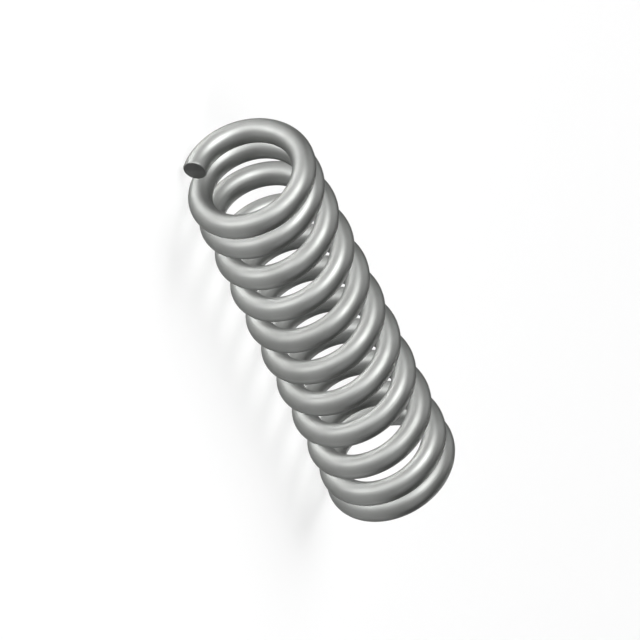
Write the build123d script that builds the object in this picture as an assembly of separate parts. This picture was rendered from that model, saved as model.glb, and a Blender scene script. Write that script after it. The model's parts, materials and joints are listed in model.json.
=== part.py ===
from build123d import *
from math import atan2, ceil, cos, radians, sin, tau
import os

# A helical compression spring: one round wire, wound right-handed along +X, with closed ends.
# It lies on its side, as a loose one does, because its ends aren't ground flat to stand on.
# Sizes are in millimetres and in turns of the coil. The origin is on the surface that it lies on,
# below the middle of the coil, and +Z is up.

# Sizes that a spring maker would ask for
wire_diameter = 1.7
outside_diameter = 9.5
free_length = 35.0
total_turns = 11.0
closed_turns = 1.0        # at each end, where the wire lies against the next turn
opening_turns = 1.0       # at each end, over which the pitch grows from closed to open
closed_clearance = 0.03   # between turns that lie together, so that one never runs into the next
tip_angle = -90.0         # degrees about +X from +Y, where the wire starts: underneath

# How closely the curve follows the true helix: 16 points a turn keep it within 0.001 mm
points_per_turn = 16

# What follows from them
wire_radius = wire_diameter / 2
coil_radius = (outside_diameter - wire_diameter) / 2
axis_height = outside_diameter / 2
closed_pitch = wire_diameter + closed_clearance
closed_lead = atan2(closed_pitch, tau * coil_radius)
tip_inset = wire_radius * cos(closed_lead)
advance = free_length - 2 * tip_inset
open_turns = total_turns - 2 * (closed_turns + opening_turns)
open_pitch = (advance - closed_pitch * (2 * closed_turns + opening_turns)) / (open_turns + opening_turns)


# How much of the opening stretch lies behind, this many turns in from a tip
def opened(from_tip):
    return min(max(from_tip - closed_turns, 0), opening_turns)


# The pitch is constant in the closed and the open turns, and grows evenly between them
def pitch(turn):
    share = opened(min(turn, total_turns - turn)) / opening_turns
    return closed_pitch + (open_pitch - closed_pitch) * share


# How far the wire has advanced along the coil, this many turns in from a tip
def advanced(from_tip):
    open_part = max(from_tip - closed_turns - opening_turns, 0)
    gained = (open_pitch - closed_pitch) * opened(from_tip) ** 2 / (2 * opening_turns)
    return closed_pitch * (from_tip - open_part) + gained + open_pitch * open_part


# The wire's centre, this many turns from its first tip
def centre(turn):
    angle = radians(tip_angle) + tau * turn
    second_half = turn > total_turns / 2
    reached = advance - advanced(total_turns - turn) if second_half else advanced(turn)
    along = tip_inset + reached - free_length / 2
    return Vector(along, coil_radius * cos(angle), axis_height + coil_radius * sin(angle))


# Which way the wire runs there
def heading(turn):
    angle = radians(tip_angle) + tau * turn
    around = tau * coil_radius
    return Vector(pitch(turn), -around * sin(angle), around * cos(angle)).normalized()


# One stretch of the wire's centre line, which leaves and arrives along the true helix
def centre_line(first, last):
    steps = max(2, round(points_per_turn * (last - first)))
    points = [centre(first + (last - first) * i / steps) for i in range(steps + 1)]
    return Edge.make_spline(points, tangents=[heading(first), heading(last)], scale=False)


# The whole centre line, in stretches of about a turn
def wound_path():
    count = ceil(total_turns)
    ends = [total_turns * i / count for i in range(count + 1)]
    return Wire([centre_line(first, last) for first, last in zip(ends, ends[1:])])


# The wire, swept along its centre line and cut off square at both tips
def spring_coil():
    section = Plane(origin=centre(0), z_dir=heading(0)) * Circle(wire_radius)
    return sweep(section, path=wound_path(), is_frenet=True).solid()


os.makedirs("parts", exist_ok=True)
export_step(spring_coil(), "parts/spring_coil.step")

active_turns = total_turns - 2 * closed_turns
print(f"open pitch {open_pitch:.3f} mm, gap between open turns {open_pitch - wire_diameter:.3f} mm")
print(f"inside diameter {outside_diameter - 2 * wire_diameter:.2f} mm, {active_turns:g} active turns")
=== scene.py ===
import json
import math

import bmesh
import bpy
from mathutils import Matrix, Vector


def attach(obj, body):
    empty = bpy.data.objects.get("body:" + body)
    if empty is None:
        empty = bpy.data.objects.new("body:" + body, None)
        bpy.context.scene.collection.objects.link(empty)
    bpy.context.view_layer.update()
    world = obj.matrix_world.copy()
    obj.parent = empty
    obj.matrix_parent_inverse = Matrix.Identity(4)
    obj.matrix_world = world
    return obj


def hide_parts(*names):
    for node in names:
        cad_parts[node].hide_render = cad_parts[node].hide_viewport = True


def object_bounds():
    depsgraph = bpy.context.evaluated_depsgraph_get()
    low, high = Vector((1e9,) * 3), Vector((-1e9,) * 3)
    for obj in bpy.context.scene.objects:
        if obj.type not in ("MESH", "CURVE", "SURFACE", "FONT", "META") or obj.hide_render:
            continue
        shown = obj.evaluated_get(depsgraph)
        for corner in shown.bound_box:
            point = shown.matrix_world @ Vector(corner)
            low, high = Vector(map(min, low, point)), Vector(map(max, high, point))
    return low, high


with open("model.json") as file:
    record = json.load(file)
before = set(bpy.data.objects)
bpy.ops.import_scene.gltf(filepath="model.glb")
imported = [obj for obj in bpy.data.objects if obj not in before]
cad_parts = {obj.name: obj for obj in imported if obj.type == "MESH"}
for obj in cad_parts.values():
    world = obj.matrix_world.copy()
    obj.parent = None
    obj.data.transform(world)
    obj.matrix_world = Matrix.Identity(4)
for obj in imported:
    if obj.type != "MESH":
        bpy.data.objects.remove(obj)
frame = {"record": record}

scene = bpy.context.scene
solidLow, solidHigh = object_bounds()
print("frame loaded: the spring lies along X, on the floor")


# A socket of a node tree. Arithmetic on it adds Math nodes, and add() makes any other node.
class Link:
    def __init__(self, tree, socket=None):
        self.tree = tree
        self.socket = socket

    def add(self, kind, settings=None, inputs=None, output=0):
        node = self.tree.nodes.new(kind)
        for name, value in (settings or {}).items():
            setattr(node, name, value)
        for name, value in (inputs or {}).items():
            if isinstance(value, Link):
                self.tree.links.new(value.socket, node.inputs[name])
            else:
                node.inputs[name].default_value = value
        return Link(self.tree, node.outputs[output] if node.outputs else None)

    # another output of the same node
    def other(self, name):
        return Link(self.tree, self.socket.node.outputs[name])

    def maths(self, operation, *values):
        return self.add("ShaderNodeMath", {"operation": operation}, dict(enumerate(values)))

    def __add__(self, value):
        return self.maths("ADD", self, value)

    def __radd__(self, value):
        return self.maths("ADD", value, self)

    def __sub__(self, value):
        return self.maths("SUBTRACT", self, value)

    def __rsub__(self, value):
        return self.maths("SUBTRACT", value, self)

    def __mul__(self, value):
        return self.maths("MULTIPLY", self, value)

    def __rmul__(self, value):
        return self.maths("MULTIPLY", value, self)

    def __truediv__(self, value):
        return self.maths("DIVIDE", self, value)

    def __gt__(self, value):
        return self.maths("GREATER_THAN", self, value)

    def __lt__(self, value):
        return self.maths("LESS_THAN", self, value)

    def atMost(self, value):
        return self.maths("MINIMUM", self, value)

    def atLeast(self, value):
        return self.maths("MAXIMUM", self, value)

    def rounded(self):
        return self.maths("ROUND", self)

    def sine(self):
        return self.maths("SINE", self)

    def cosine(self):
        return self.maths("COSINE", self)

    def arctangent(self):
        return self.maths("ARCTANGENT", self)

    # 0 up to low, 1 from high, and even in between
    def ramp(self, low, high):
        limits = {"From Min": low, "From Max": high}
        return self.add("ShaderNodeMapRange", {"clamp": True}, {"Value": self, **limits})

    # a colour at this share of the way from one to another: sockets 6 and 7 of a Mix node
    # are its two colours, and output 2 is the mixed one
    def blend(self, first, second):
        colours = {6: solid(first), 7: solid(second)}
        return self.add("ShaderNodeMix", {"data_type": "RGBA"}, {0: self, **colours}, 2)


# a colour as a socket takes it
def solid(colour):
    return colour if isinstance(colour, Link) else (*colour, 1.0)


# The coil. Its sizes are those of the solid, in metres.
mounts = {mount["name"]: mount["dims"] for mount in frame["record"]["mounts"]}
outsideRadius = mounts["outside"]["r_mm"] / 1000
boreRadius = mounts["guide_bore"]["r_mm"] / 1000

coil = {
    "Wire Diameter": outsideRadius - boreRadius,
    "Outside Diameter": 2 * outsideRadius,
    "Free Length": mounts["outside"]["length_mm"] / 1000,
    "Total Turns": 11.0,
    "Closed Turns": 1.0,           # at each end, lying against the next turn
    "Opening Turns": 1.0,          # at each end, over which the pitch grows
    "Closed Clearance": 0.00003,
    "Tip Angle": -90.0,            # degrees from +Y: both tips are underneath
    "Edge Round": 0.00007,         # where the cut faces meet the wire's side
    "Edge Rings": 6,
    "Rings per Turn": 96,
    "Sides": 40,
}


# A tree whose inputs can be changed on the modifier
def newCoilTree():
    tree = bpy.data.node_groups.new("coilWinding", "GeometryNodeTree")
    tree.is_modifier = True
    for name, value in coil.items():
        kind = "NodeSocketInt" if isinstance(value, int) else "NodeSocketFloat"
        tree.interface.new_socket(name, in_out="INPUT", socket_type=kind)
    tree.interface.new_socket("Geometry", in_out="OUTPUT", socket_type="NodeSocketGeometry")
    return tree


def storeOn(geometry, name, kind, value, domain="POINT"):
    settings = {"data_type": kind, "domain": domain}
    inputs = {"Geometry": geometry, "Name": name, "Value": value}
    return geometry.add("GeometryNodeStoreNamedAttribute", settings, inputs)


# Round wire wound on a helix, with both ends cut off square
def windCoil(material):
    tree = newCoilTree()
    nodes = Link(tree)
    sizes = nodes.add("NodeGroupInput")
    turns = sizes.other("Total Turns")
    closedTurns = sizes.other("Closed Turns")
    openingTurns = sizes.other("Opening Turns")
    freeLength = sizes.other("Free Length")
    edgeRound = sizes.other("Edge Round")
    edgeRings = sizes.other("Edge Rings")
    wireRadius = sizes.other("Wire Diameter") / 2
    coilRadius = sizes.other("Outside Diameter") / 2 - wireRadius
    turnLength = math.tau * coilRadius

    # rings stand a step apart along the wire, and close together over each rounded edge,
    # which is a quarter of a circle
    quarter = math.pi / 2
    bodyRings = (turns * sizes.other("Rings per Turn")).rounded()
    lastRing = bodyRings + 2 * edgeRings
    ring = nodes.add("GeometryNodeInputIndex")
    intoStart = (ring / edgeRings).atMost(1)
    intoEnd = ((lastRing - ring) / edgeRings).atMost(1)
    alongBody = (ring - edgeRings).atLeast(0).atMost(bodyRings) / bodyRings
    edgeTurns = edgeRound / turnLength
    overStart = 1 - (intoStart * quarter).cosine()
    overEnd = (intoEnd * quarter).cosine()
    turn = edgeTurns * (overStart + overEnd) + (turns - 2 * edgeTurns) * alongBody
    outToSide = (intoStart.atMost(intoEnd) * quarter).sine()
    ringRadius = wireRadius - edgeRound * (1 - outToSide)

    # the pitch: closed, then growing over the opening turns, then open
    closedPitch = sizes.other("Wire Diameter") + sizes.other("Closed Clearance")
    closedLead = (closedPitch / turnLength).arctangent()
    tipInset = wireRadius * closedLead.cosine()
    advance = freeLength - 2 * tipInset
    openTurns = turns - 2 * (closedTurns + openingTurns)
    closedPart = closedPitch * (2 * closedTurns + openingTurns)
    openPitch = (advance - closedPart) / (openTurns + openingTurns)

    # how far the wire has advanced along the coil, this many turns in from a tip
    def advanced(fromTip):
        openPart = (fromTip - closedTurns - openingTurns).atLeast(0)
        opened = (fromTip - closedTurns).atLeast(0).atMost(openingTurns)
        gained = (openPitch - closedPitch) * opened * opened / (2 * openingTurns)
        return closedPitch * (fromTip - openPart) + gained + openPitch * openPart

    fromLeft = advanced(turn)
    fromRight = advance - advanced(turns - turn)
    reached = fromLeft + (turn > turns / 2) * (fromRight - fromLeft)
    along = tipInset + reached - freeLength / 2
    angle = (sizes.other("Tip Angle") / 360 + turn) * math.tau
    outward = {"X": 0.0, "Y": angle.cosine(), "Z": angle.sine()}
    place = {
        "X": along,
        "Y": coilRadius * outward["Y"],
        "Z": coilRadius + wireRadius + coilRadius * outward["Z"],
    }
    outward = nodes.add("ShaderNodeCombineXYZ", {}, outward)
    place = nodes.add("ShaderNodeCombineXYZ", {}, place)

    # the wire's centre line, which carries how far along the wire each point is
    line = nodes.add("GeometryNodeCurvePrimitiveLine")
    rings = {"Curve": line, "Count": lastRing + 1}
    line = nodes.add("GeometryNodeResampleCurve", {"mode": "COUNT"}, rings)
    line = nodes.add("GeometryNodeSetPosition", {}, {"Geometry": line, "Position": place})
    normal = {"Curve": line, "Normal": outward}
    line = nodes.add("GeometryNodeSetCurveNormal", {"mode": "FREE"}, normal)
    length = nodes.add("GeometryNodeSplineParameter").other("Length")
    line = storeOn(line, "along", "FLOAT", length)
    line = storeOn(line, "ringRadius", "FLOAT", ringRadius)

    # its round section, which carries the direction from the wire's centre
    section = {"Resolution": sizes.other("Sides"), "Radius": 1.0}
    section = nodes.add("GeometryNodeCurvePrimitiveCircle", {}, section)
    position = nodes.add("GeometryNodeInputPosition")
    section = storeOn(section, "around", "FLOAT_VECTOR", position)
    radius = nodes.add("GeometryNodeInputNamedAttribute", {}, {"Name": "ringRadius"})
    wire = {"Curve": line, "Profile Curve": section, "Scale": radius, "Fill Caps": True}
    wire = nodes.add("GeometryNodeCurveToMesh", {}, wire)

    # the two cut faces are flat, and the material can tell them from the drawn side, where
    # a face has four corners
    corners = nodes.add("GeometryNodeInputMeshFaceNeighbors").other("Vertex Count")
    cutFace = corners > 4
    wire = storeOn(wire, "cutFace", "FLOAT", cutFace, "FACE")
    smooth = {"Geometry": wire, "Shade Smooth": cutFace < 0.5}
    wire = nodes.add("GeometryNodeSetShadeSmooth", {"domain": "FACE"}, smooth)
    wire = nodes.add("GeometryNodeRealizeInstances", {}, {"Geometry": wire})
    finished = {"Geometry": wire, "Material": material}
    wire = nodes.add("GeometryNodeSetMaterial", {}, finished)
    nodes.add("NodeGroupOutput", {}, {"Geometry": wire})
    return tree


# The finish of the wire: steel drawn through a die, a little dull. Each roughness below the
# first is what the mark adds to it.
finish = {
    "colour": (0.250, 0.255, 0.248),
    "edgeTint": (0.35, 0.35, 0.35),    # how much of its shine is left at a grazing angle
    "roughness": 0.49,
    "bumpStrength": 0.6,
    "bumpDepth": 0.000010,

    # fine lines from the die, and broader streaks
    "fineLines": {"length": 0.006, "width": 0.00004, "seed": 3.0, "detail": 2.0},
    "fineRoughness": 0.14,
    "fineHeight": 0.6,
    "broadLines": {"length": 0.022, "width": 0.00025, "seed": 11.0, "detail": 1.0},
    "broadRoughness": 0.10,
    "broadHeight": 0.6,

    # faint dull patches
    "dullColour": (0.218, 0.222, 0.215),
    "dullRoughness": 0.04,
    "dullSize": 0.0026,
    "dullDetail": 3.0,
    "dullEdge": (0.42, 0.68),          # from clean to fully dull

    # a faint track that the coiling pins rubbed along the outside of the coil
    "rubbedColour": (0.300, 0.306, 0.298),
    "rubbedShare": 0.5,                # of that colour where the track is whole
    "rubbedRoughness": -0.06,
    "rubbedLines": {"length": 0.012, "width": 0.00020, "seed": 29.0, "detail": 2.0},
    "rubbedGaps": (0.35, 0.6),         # from a gap in the track to the whole of it
    "rubbedSide": (0.975, 0.995),      # from its edge to its middle, 1 being outermost

    # a cut face: sheared smooth on one side, with lines across it, and torn on the other.
    # Its dark colour is painted shade, far darker than cut steel, and darker still where torn.
    "cutShadeColour": (0.128, 0.130, 0.127),
    "cutRoughness": 0.08,
    "shearLines": {"length": 0.00034, "width": 0.00003, "seed": 100.0, "detail": 2.0},
    "tornShadeColour": (0.105, 0.106, 0.104),
    "tornRoughness": 0.10,
    "tornSize": 0.00012,
    "tornDetail": 3.0,
    "tornEdge": (-0.15, 0.20),         # from sheared to torn, the middle of the face being 0
    "tornWander": 0.6,                 # how uneven that edge is
}


def newMaterial(name):
    material = bpy.data.materials.new(name)
    material.use_nodes = True
    material.node_tree.nodes.clear()
    return material, Link(material.node_tree)


def drawnWire():
    material, nodes = newMaterial("drawnWire")
    along = nodes.add("ShaderNodeAttribute", {"attribute_name": "along"}).other("Fac")
    around = nodes.add("ShaderNodeAttribute", {"attribute_name": "around"}).other("Vector")
    cutFace = nodes.add("ShaderNodeAttribute", {"attribute_name": "cutFace"}).other("Fac")
    across = nodes.add("ShaderNodeSeparateXYZ", {}, {"Vector": around})
    outside = across.other("X")
    sideways = across.other("Y")
    place = nodes.add("ShaderNodeTexCoord").other("Object")
    wireRadius = coil["Wire Diameter"] / 2
    even = 0.5    # a noise on average

    def noise(vector, scale, detail):
        inputs = {"Vector": vector, "Scale": scale, "Detail": detail}
        return nodes.add("ShaderNodeTexNoise", {}, inputs)

    # noise drawn out along the wire
    def lines(size):
        spread = wireRadius / size["width"]
        where = {
            "X": along / size["length"] + size["seed"],
            "Y": outside * spread,
            "Z": sideways * spread,
        }
        where = nodes.add("ShaderNodeCombineXYZ", {}, where)
        return noise(where, 1.0, size["detail"])

    # noise drawn out across a cut face, and not the same at both ends
    def shorn(size):
        where = {
            "X": outside * (wireRadius / size["width"]),
            "Y": sideways * (wireRadius / size["length"]),
            "Z": along * size["seed"],
        }
        where = nodes.add("ShaderNodeCombineXYZ", {}, where)
        return noise(where, 1.0, size["detail"])

    fine = lines(finish["fineLines"])
    broad = lines(finish["broadLines"])
    dull = noise(place, 1 / finish["dullSize"], finish["dullDetail"]).ramp(*finish["dullEdge"])
    rubbed = lines(finish["rubbedLines"]).ramp(*finish["rubbedGaps"])
    rubbed = outside.ramp(*finish["rubbedSide"]) * rubbed
    grain = noise(place, 1 / finish["tornSize"], finish["tornDetail"])
    torn = (sideways + (grain - even) * finish["tornWander"]).ramp(*finish["tornEdge"])
    shear = shorn(finish["shearLines"])

    colour = dull.blend(finish["colour"], finish["dullColour"])
    colour = (rubbed * finish["rubbedShare"]).blend(colour, finish["rubbedColour"])
    # the cut faces take a painted shade: a dark colour, darker still where torn
    colour = cutFace.blend(colour, torn.blend(finish["cutShadeColour"], finish["tornShadeColour"]))

    roughness = finish["roughness"] + (fine - even) * finish["fineRoughness"]
    roughness = roughness + (broad - even) * finish["broadRoughness"]
    roughness = roughness + dull * finish["dullRoughness"] + rubbed * finish["rubbedRoughness"]
    onCut = finish["cutRoughness"] + torn * finish["tornRoughness"]
    roughness = roughness + cutFace * onCut

    drawn = fine * finish["fineHeight"] + broad * finish["broadHeight"]
    cut = shear + torn * (grain - shear)
    bump = {
        "Strength": finish["bumpStrength"],
        "Distance": finish["bumpDepth"],
        "Height": drawn + cutFace * (cut - drawn),
    }
    surface = {
        "Base Color": colour,
        "Metallic": 1.0,
        "Roughness": roughness,
        "Specular Tint": solid(finish["edgeTint"]),
        "Normal": nodes.add("ShaderNodeBump", {}, bump),
    }
    surface = nodes.add("ShaderNodeBsdfPrincipled", {"distribution": "GGX"}, surface)
    nodes.add("ShaderNodeOutputMaterial", {}, {"Surface": surface})
    return material


def plainMesh(name, tree, values):
    piece = bpy.data.objects.new(name, bpy.data.meshes.new(name))
    scene.collection.objects.link(piece)
    modifier = piece.modifiers.new("winding", "NODES")
    modifier.node_group = tree
    for item in tree.interface.items_tree:
        if item.in_out == "INPUT":
            modifier[item.identifier] = values[item.name]
    ready = piece.evaluated_get(bpy.context.evaluated_depsgraph_get())
    piece.data = bpy.data.meshes.new_from_object(ready)
    piece.data.name = name
    piece.modifiers.clear()
    return piece


# The wire unrolled, for the closing bake: strips of it side by side, with the cut faces in a
# row above them. The export looks for a map of this name. Sizes are shares of the map.
unrolled = {
    "name": "OFBake",
    "strips": 3,
    "margin": 0.006,               # round each strip and cut face
    "cutFaceSize": 0.09,
}


# How far round the wire a direction points, in turns from the inside of the coil
def turnedTo(direction):
    return math.atan2(direction.y, direction.x) / math.tau + 0.5


def unrollWire(shell):
    along = shell.verts.layers.float["along"]
    around = shell.verts.layers.float_vector["around"]
    cutFace = shell.faces.layers.float["cutFace"]
    place = shell.loops.layers.uv.new(unrolled["name"])
    margin = unrolled["margin"]
    size = unrolled["cutFaceSize"]
    lastStrip = unrolled["strips"] - 1
    stripWidth = (1 - size - 2 * margin) / unrolled["strips"]
    stripLength = max(corner[along] for corner in shell.verts) / unrolled["strips"]
    for face in shell.faces:
        reached = sum(corner[along] for corner in face.verts) / len(face.verts)
        strip = min(int(reached / stripLength), lastStrip)
        faceTurn = turnedTo(sum((corner[around] for corner in face.verts), Vector()))
        for loop in face.loops:
            direction = loop.vert[around]
            if face[cutFace]:
                centre = Vector((size * (0.5 + strip), 1 - margin - size / 2))
                loop[place].uv = centre + direction.xy * (size / 2 - margin)
                continue
            turn = turnedTo(direction)
            turn += round(faceTurn - turn)    # a corner on the seam goes with its face
            share = loop.vert[along] / stripLength - strip
            loop[place].uv = (
                margin + share * (1 - 2 * margin),
                stripWidth * strip + margin + turn * (stripWidth - 2 * margin),
            )


springCoil = plainMesh("springCoil", windCoil(drawnWire()), coil)

shell = bmesh.new()
shell.from_mesh(springCoil.data)
volume = shell.calc_volume(signed=True)
triangles = sum(len(face.verts) - 2 for face in shell.faces)
openEdges = sum(not edge.is_manifold for edge in shell.edges)
unrollWire(shell)
shell.to_mesh(springCoil.data)
shell.free()
print(f"coil wound: {triangles} triangles, {volume * 1e9:.1f} mm3, {openEdges} open edges")

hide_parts("spring_coil")
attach(springCoil, "root")


# A plain white floor with lamps round it. The world is white below the floor, for a view whose
# lower edge dips under it.
studio = {
    "floorColour": (0.97, 0.97, 0.97),
    "floorRoughness": 0.9,
    "floorHalf": 3.0,
    "skyColour": (0.04, 0.04, 0.04),
    "underColour": (1.0, 1.0, 1.0),
    "lampDistance": 1.5,
}


def paleFloor():
    material, nodes = newMaterial("paleFloor")
    surface = {
        "Base Color": solid(studio["floorColour"]),
        "Roughness": studio["floorRoughness"],
        "Specular IOR Level": 0.0,
    }
    surface = nodes.add("ShaderNodeBsdfPrincipled", {}, surface)
    nodes.add("ShaderNodeOutputMaterial", {}, {"Surface": surface})
    return material


half = studio["floorHalf"]
corners = [(-half, -half, 0), (half, -half, 0), (half, half, 0), (-half, half, 0)]
floorMesh = bpy.data.meshes.new("floor")
floorMesh.from_pydata(corners, [], [(0, 1, 2, 3)])
floorMesh.materials.append(paleFloor())
floor = bpy.data.objects.new("floor", floorMesh)
scene.collection.objects.link(floor)

world = bpy.data.worlds.new("studio")
world.use_nodes = True
world.node_tree.nodes.clear()
world.cycles.sampling_method = "NONE"
nodes = Link(world.node_tree)
direction = nodes.add("ShaderNodeTexCoord").other("Generated")
raised = nodes.add("ShaderNodeSeparateXYZ", {}, {"Vector": direction}).other("Z")
sky = (raised < 0).blend(studio["skyColour"], studio["underColour"])
sky = nodes.add("ShaderNodeBackground", {}, {"Color": sky})
nodes.add("ShaderNodeOutputWorld", {}, {"Surface": sky})
scene.world = world
scene.view_settings.view_transform = "Standard"
print("floor and world made")


# Softboxes round the floor, and two under it, as in a light table. Azimuth 0 is in front of
# the spring and 90 at its right end. The level of a lamp is how bright it alone makes a white
# card that faces it. A fill lamp casts no shadow and shines through the floor, which
# importance sampling would half undo.
lamps = {
    "endFill": {"azimuth": 268, "elevation": 25, "level": 1.18, "size": 0.85, "fill": True},
    "cornerFill": {"azimuth": 290, "elevation": 25, "level": 0.19, "size": 0.85, "fill": True},
    "rightFill": {"azimuth": 110, "elevation": 15, "level": 0.25, "size": 0.85, "fill": True},
    "frontSoftbox": {"azimuth": 0, "elevation": 40, "level": 0.20, "size": 1.6, "fill": False},
    "backSoftbox": {"azimuth": 180, "elevation": 50, "level": 0.31, "size": 1.6, "fill": False},
    "tableEnd": {"azimuth": 280, "elevation": -28, "level": 0.55, "size": 0.85, "fill": True},
    "tableBack": {"azimuth": 215, "elevation": -42, "level": 0.53, "size": 0.85, "fill": True},
}


# the direction from the spring towards a lamp or the camera
def towards(azimuth, elevation):
    turned = math.radians(azimuth)
    raised = math.radians(elevation)
    level = math.cos(raised)
    return Vector((math.sin(turned) * level, -math.cos(turned) * level, math.sin(raised)))


middle = (solidLow + solidHigh) / 2
lampDistance = studio["lampDistance"]
for name, lamp in lamps.items():
    light = bpy.data.lights.new(name, "AREA")
    light.shape = "DISK"
    light.size = lamp["size"]
    light.energy = lamp["level"] * math.pi ** 2 * (lampDistance ** 2 + (light.size / 2) ** 2)
    light.use_shadow = not lamp["fill"]
    light.cycles.use_multiple_importance_sampling = not lamp["fill"]
    side = towards(lamp["azimuth"], lamp["elevation"])
    lampObject = bpy.data.objects.new(name, light)
    lampObject.location = middle + side * lampDistance
    lampObject.rotation_mode = "QUATERNION"
    lampObject.rotation_quaternion = side.to_track_quat("Z", "Y")
    lampObject.visible_camera = False
    scene.collection.objects.link(lampObject)
print("lamps placed:", ", ".join(lamps))


# The camera looks down on the spring from its left end, and is turned on its side
shot = {
    "azimuth": -51.8,
    "elevation": 22.7,
    "roll": 90.0,
    "distance": 0.4,
    "viewWidth": 0.0442,
    "nearest": 0.01,
    "farthest": 100.0,
}

back = towards(shot["azimuth"], shot["elevation"])
upright = back.to_track_quat("Z", "Y").to_matrix().to_4x4()
roll = Matrix.Rotation(math.radians(shot["roll"]), 4, "Z")
camera = bpy.data.objects.new("camera", bpy.data.cameras.new("camera"))
camera.data.type = "ORTHO"
camera.data.ortho_scale = shot["viewWidth"]
camera.data.clip_start = shot["nearest"]
camera.data.clip_end = shot["farthest"]
camera.matrix_world = Matrix.Translation(middle + back * shot["distance"]) @ upright @ roll
scene.collection.objects.link(camera)
scene.camera = camera
print("camera placed")
